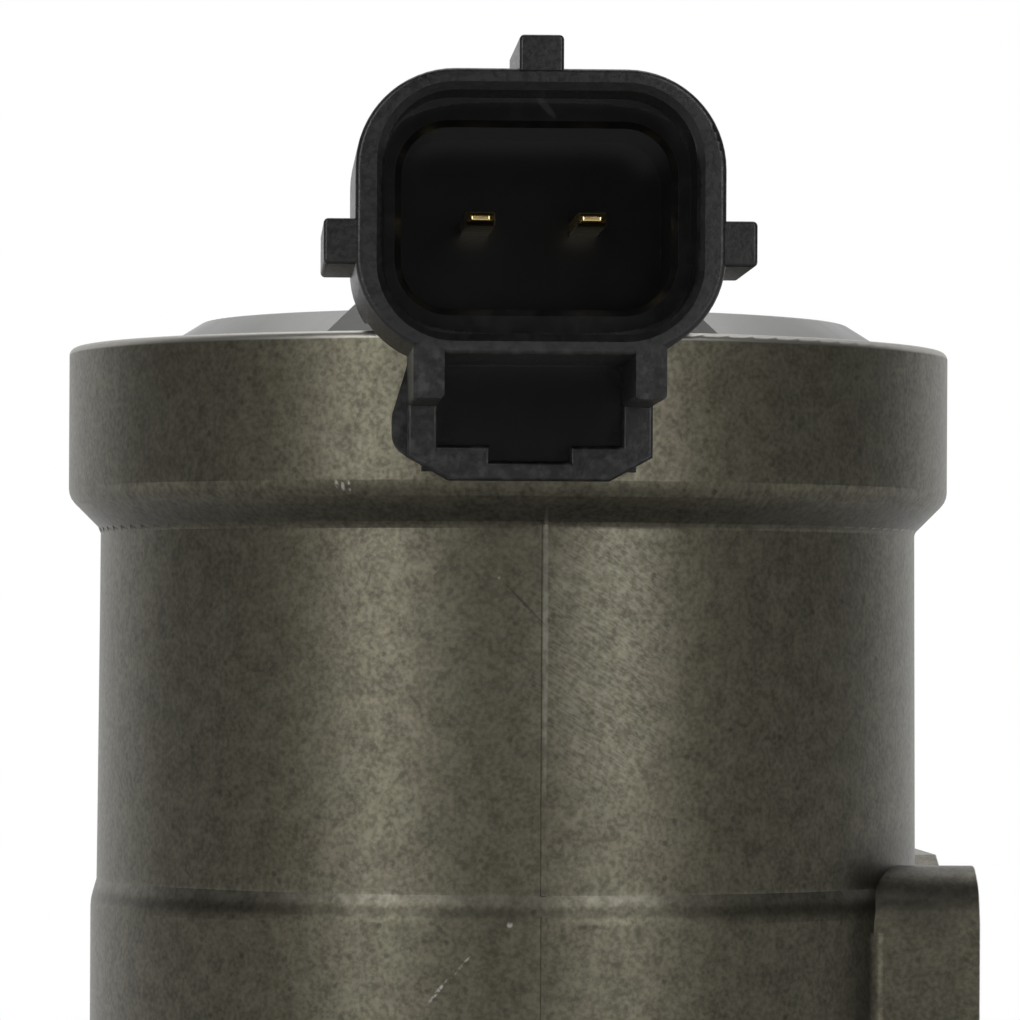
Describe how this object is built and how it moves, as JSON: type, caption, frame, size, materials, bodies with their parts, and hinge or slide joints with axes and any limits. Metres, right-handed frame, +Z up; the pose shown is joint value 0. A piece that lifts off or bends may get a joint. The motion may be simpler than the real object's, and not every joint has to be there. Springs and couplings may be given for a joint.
{
  "type": "idle air control valve",
  "caption": "Solenoid idle air control valve: a cast barrel with a side port flange and a keyed plug socket holds a spring-loaded poppet that a coil lifts to meter air.",
  "frame": {"origin": "middle of the bolt pattern, on the mounting face", "axes": "+X out of the mounting face, +Z up the valve axis to the cover, the plug socket looks to -Y"},
  "size_m": [0.0507, 0.0755, 0.0913],
  "materials": {
    "cast_aluminium": "shot-blasted die casting, dull and dark",
    "cover_steel": "smooth pressed sheet",
    "black_plastic": "satin moulded",
    "terminal_brass": "plated, bright",
    "bobbin_plastic": "natural nylon",
    "copper_wire": "enamelled copper",
    "magnet_steel": "zinc-plated soft steel",
    "spring_steel": "drawn wire and strip",
    "ground_steel": "ground shaft",
    "plug_steel": "passivated, turned",
    "bearing_brass": "turned",
    "turned_aluminium": "turned",
    "black_rubber": "moulded"
  },
  "bodies": {
    "housing": {"valve_body": "cast_aluminium", "top_cover": "cover_steel", "cover_seal": "black_rubber", "connector": "black_plastic", "terminal_left": "terminal_brass", "terminal_right": "terminal_brass", "coil_bobbin": "bobbin_plastic", "coil_winding": "copper_wire", "yoke_sleeve": "magnet_steel", "top_pole_plate": "magnet_steel", "bottom_pole_plate": "magnet_steel", "spring_washer": "spring_steel", "guide_sleeve": "bearing_brass", "fixed_core": "magnet_steel", "guide_plate": "turned_aluminium", "shaft_bush": "bearing_brass", "seat_ring": "bearing_brass", "flange_seal": "black_rubber", "end_plug": "plug_steel", "plug_seal": "black_rubber", "lower_bush": "bearing_brass", "return_spring": "spring_steel", "balance_spring": "spring_steel"},
    "plunger": {"armature": "magnet_steel", "valve_shaft": "ground_steel", "poppet": "turned_aluminium", "poppet_seal": "black_rubber", "shaft_clip": "spring_steel"}
  },
  "joints": [
    {"name": "valve_slide", "type": "slide", "parent": "housing", "child": "plunger", "axis": [0, 0, 1], "range_m": [0, 0.004], "stiffness_N_per_m": 300, "springref_m": -0.002, "deforming": ["return_spring", "balance_spring"]}
  ]
}
